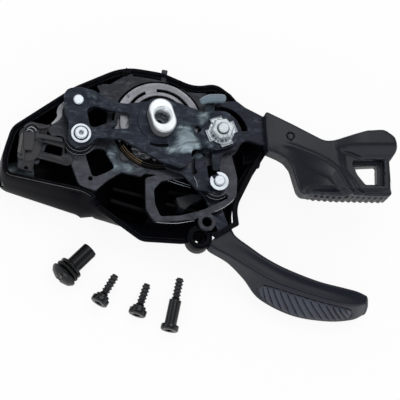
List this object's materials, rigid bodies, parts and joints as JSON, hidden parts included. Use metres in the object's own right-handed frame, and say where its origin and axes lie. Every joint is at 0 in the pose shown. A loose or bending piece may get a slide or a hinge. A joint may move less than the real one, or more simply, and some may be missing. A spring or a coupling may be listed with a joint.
{
  "type": "thumb shifter",
  "caption": "Opened bicycle thumb shifter: moulded shell with cable spool, index wheel, plates and pawls, a thumb lever, a release lever and its loose plug and screws.",
  "frame": {"origin": "on the clamp thread's axis at the top face of the oval clamp nut", "axes": "+Z along the clamp thread out of the opened mechanism side, +X along the shifter from the cable outlet to the levers"},
  "size_m": [0.1109, 0.0739, 0.0222],
  "materials": {
    "shell_plastic": "gloss moulded",
    "guide_plastic": "satin moulded",
    "collar_metal": "satin",
    "plate_steel": "dark oiled stamping",
    "blued_steel": "dark blued stamping",
    "wheel_steel": "satin stamping",
    "zinc_steel": "bright zinc",
    "spring_steel": "drawn wire",
    "black_steel": "black oxide",
    "bumper_rubber": "greasy",
    "seal_rubber": "matte",
    "spool_plastic": "satin moulded",
    "lever_plastic": "satin moulded",
    "grip_plastic": "ribbed satin",
    "pad_plastic": "satin moulded",
    "plug_plastic": "satin moulded"
  },
  "bodies": {
    "housing": {"upper_shell": "shell_plastic", "lever_guard": "shell_plastic", "cable_guide": "guide_plastic", "casing_collar": "collar_metal", "base_plate": "plate_steel", "support_plate": "plate_steel", "clamp_nut": "zinc_steel", "main_axle": "zinc_steel", "plate_spacers": "wheel_steel", "upper_rivet": "zinc_steel", "lower_rivet": "zinc_steel", "lower_rivet_washer": "zinc_steel", "release_axle": "zinc_steel", "axle_spacers": "wheel_steel", "lock_washer": "zinc_steel", "release_nut": "zinc_steel", "pawl_post": "zinc_steel", "post_clip": "zinc_steel", "stop_bumper": "bumper_rubber", "lever_return_spring": "spring_steel", "spool_spring": "spring_steel", "stop_pawl_spring": "spring_steel", "holding_pawl_spring": "spring_steel", "release_spring": "spring_steel"},
    "spool": {"cable_spool": "spool_plastic", "index_wheel": "wheel_steel", "winding_ratchet": "wheel_steel", "hub_sleeve": "wheel_steel"},
    "thumb_lever": {"lever_plate": "plate_steel", "thumb_paddle": "lever_plastic", "thumb_grip": "grip_plastic", "winding_pawl_pin": "zinc_steel"},
    "winding_pawl": {"winding_pawl": "wheel_steel"},
    "release_lever": {"release_plate": "blued_steel", "release_pad": "pad_plastic"},
    "holding_pawl": {"holding_pawl": "plate_steel"},
    "stop_pawl": {"stop_pawl": "plate_steel"},
    "port_plug": {"port_plug": "plug_plastic", "plug_seal": "seal_rubber"},
    "cover_screws": {"cover_screws": "black_steel"},
    "shoulder_screw": {"shoulder_screw": "black_steel"}
  },
  "joints": [
    {"name": "spool_turn", "type": "hinge", "parent": "housing", "child": "spool", "pos_m": [0, 0, -0.0164], "axis": [0, 0, 1], "range_deg": [0, 170]},
    {"name": "thumb_lever_push", "type": "hinge", "parent": "housing", "child": "thumb_lever", "pos_m": [0, 0, -0.0134], "axis": [0, 0, 1], "range_deg": [0, 45], "stiffness_Nm_per_rad": 0.05, "springref_deg": -11.46},
    {"name": "winding_pawl_lift", "type": "hinge", "parent": "thumb_lever", "child": "winding_pawl", "pos_m": [-0.00597, -0.00764, -0.0114], "axis": [0, 0, 1], "range_deg": [-12, 0], "stiffness_Nm_per_rad": 0.0005, "springref_deg": 5.73},
    {"name": "release_lever_press", "type": "hinge", "parent": "housing", "child": "release_lever", "pos_m": [0.017, -0.0032, -0.0074], "axis": [0, 0, 1], "range_deg": [-6, 12], "stiffness_Nm_per_rad": 0.08},
    {"name": "holding_pawl_lift", "type": "hinge", "parent": "housing", "child": "holding_pawl", "pos_m": [0.0156, -0.0176, -0.0077], "axis": [0, 0, 1], "range_deg": [0, 6], "stiffness_Nm_per_rad": 0.002, "springref_deg": -5.73},
    {"name": "stop_pawl_lift", "type": "hinge", "parent": "housing", "child": "stop_pawl", "pos_m": [-0.0222, -0.0041, -0.0077], "axis": [0, 0, 1], "range_deg": [0, 8], "stiffness_Nm_per_rad": 0.002, "springref_deg": -5.73},
    {"name": "port_plug_lift", "type": "slide", "parent": "housing", "child": "port_plug", "axis": [0, 0, 1], "range_m": [0, 0.03]},
    {"name": "cover_screws_lift", "type": "slide", "parent": "housing", "child": "cover_screws", "axis": [0, 0, 1], "range_m": [0, 0.03]},
    {"name": "shoulder_screw_lift", "type": "slide", "parent": "housing", "child": "shoulder_screw", "axis": [0, 0, 1], "range_m": [0, 0.03]}
  ]
}
